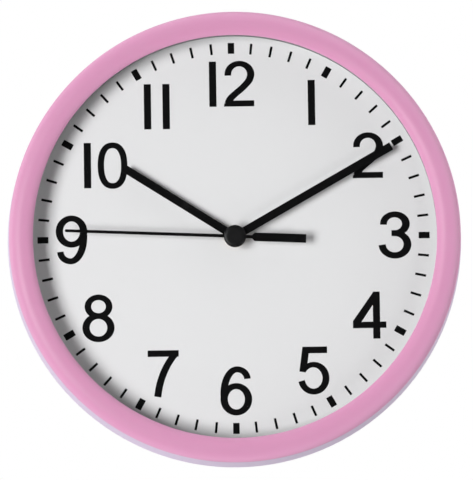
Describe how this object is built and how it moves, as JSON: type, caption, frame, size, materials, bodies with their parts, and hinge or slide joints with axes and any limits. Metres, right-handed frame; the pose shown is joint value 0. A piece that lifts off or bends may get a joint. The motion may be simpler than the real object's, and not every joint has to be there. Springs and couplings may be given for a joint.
{
  "type": "wall clock",
  "caption": "Round wall clock with a crowned bezel, flat glass, numbered dial, three hands and a battery quartz movement that hangs on a nail.",
  "frame": {"origin": "centre of the flat rim that lies on the wall, on the axis of the hands", "axes": "-Y is the way the dial faces and +Y points into the wall; +Z points to twelve o'clock; +X points to three o'clock"},
  "size_m": [0.2544, 0.039, 0.2544],
  "materials": {
    "bezel_pink": "glossy moulded",
    "case_lilac": "glossy moulded",
    "clear_glass": "polished flat glass",
    "dial_white": "printed satin sheet",
    "spacer_grey": "satin moulded",
    "movement_black": "fine textured moulded",
    "cover_black": "fine textured moulded",
    "knob_grey": "moulded",
    "gear_white": "moulded",
    "brass": "turned",
    "steel": "drawn",
    "soft_iron": "stamped",
    "magnet": "sintered",
    "copper": "enamelled wire",
    "nickel": "plated strip",
    "board_green": "laminate",
    "chip_black": "epoxy",
    "rubber_black": "moulded",
    "hand_black": "satin black lacquer",
    "cap_black": "satin moulded",
    "battery_jacket": "plain foil jacket"
  },
  "bodies": {
    "case": {"bezel": "bezel_pink", "lens": "clear_glass", "spacer_ring": "spacer_grey", "dial": "dial_white", "rear_case": "case_lilac", "case_screws": "steel", "movement_case": "movement_black", "movement_cover": "cover_black", "middle_plate": "gear_white", "centre_bush": "brass", "rubber_washer": "rubber_black", "dial_washer": "brass", "hex_nut": "brass", "stator": "soft_iron", "coil_core": "soft_iron", "coil_bobbin": "gear_white", "coil_winding": "copper", "circuit_board": "board_green", "control_chip": "chip_black", "quartz_crystal": "nickel", "contact_negative": "nickel", "contact_positive": "nickel"},
    "second_hand_set": {"seconds_arbor": "steel", "seconds_wheel": "gear_white", "second_collet": "brass", "second_hand": "hand_black", "hub_cap": "cap_black"},
    "rotor": {"rotor_magnet": "magnet", "rotor_pinion": "gear_white"},
    "fifth_wheel_set": {"fifth_wheel": "gear_white"},
    "third_wheel_set": {"third_wheel": "gear_white"},
    "minute_wheel_set": {"minute_wheel": "gear_white"},
    "minute_hand_set": {"minute_tube": "brass", "minute_collet": "brass", "minute_hand": "hand_black"},
    "motion_wheel_set": {"motion_wheel": "gear_white"},
    "hour_hand_set": {"hour_wheel": "gear_white", "hour_collet": "brass", "hour_hand": "hand_black"},
    "setting_knob_set": {"setting_knob": "knob_grey", "setting_pinion": "gear_white"},
    "battery_set": {"battery": "battery_jacket", "battery_terminal": "nickel"}
  },
  "joints": [
    {"name": "second_hand_turn", "type": "hinge", "parent": "case", "child": "second_hand_set", "pos_m": [0, -0.03075, 0], "axis": [0, 1, 0], "continuous": true},
    {"name": "rotor_turn", "type": "hinge", "parent": "case", "child": "rotor", "pos_m": [0.01413, -0.008, 0.00404], "axis": [0, 1, 0], "continuous": true},
    {"name": "fifth_wheel_turn", "type": "hinge", "parent": "case", "child": "fifth_wheel_set", "pos_m": [0.00822, -0.008, 0.00299], "axis": [0, 1, 0], "continuous": true},
    {"name": "third_wheel_turn", "type": "hinge", "parent": "case", "child": "third_wheel_set", "pos_m": [-0.00837, -0.0115, 0.00148], "axis": [0, 1, 0], "continuous": true},
    {"name": "minute_wheel_turn", "type": "hinge", "parent": "case", "child": "minute_wheel_set", "pos_m": [0, -0.0138, 0], "axis": [0, 1, 0], "continuous": true},
    {"name": "minute_hand_turn", "type": "hinge", "parent": "case", "child": "minute_hand_set", "pos_m": [0, -0.0291, 0], "axis": [0, 1, 0], "continuous": true},
    {"name": "motion_wheel_turn", "type": "hinge", "parent": "case", "child": "motion_wheel_set", "pos_m": [-0.00287, -0.016, 0.00789], "axis": [0, 1, 0], "continuous": true},
    {"name": "hour_hand_turn", "type": "hinge", "parent": "case", "child": "hour_hand_set", "pos_m": [0, -0.02745, 0], "axis": [0, 1, 0], "continuous": true},
    {"name": "setting_knob_turn", "type": "hinge", "parent": "case", "child": "setting_knob_set", "pos_m": [-0.00707, -0.016, 0.01517], "axis": [0, 1, 0], "continuous": true},
    {"name": "battery_slide", "type": "slide", "parent": "case", "child": "battery_set", "axis": [0, 1, 0], "range_m": [0, 0.02]}
  ],
  "couplings": [
    {"joint": "fifth_wheel_turn", "follows": "second_hand_turn", "ratio": -6},
    {"joint": "rotor_turn", "follows": "second_hand_turn", "ratio": 30},
    {"joint": "third_wheel_turn", "follows": "second_hand_turn", "ratio": -0.13333},
    {"joint": "minute_wheel_turn", "follows": "second_hand_turn", "ratio": 0.016667},
    {"joint": "motion_wheel_turn", "follows": "minute_hand_turn", "ratio": -0.33333},
    {"joint": "hour_hand_turn", "follows": "minute_hand_turn", "ratio": 0.083333},
    {"joint": "setting_knob_turn", "follows": "minute_hand_turn", "ratio": 1}
  ]
}
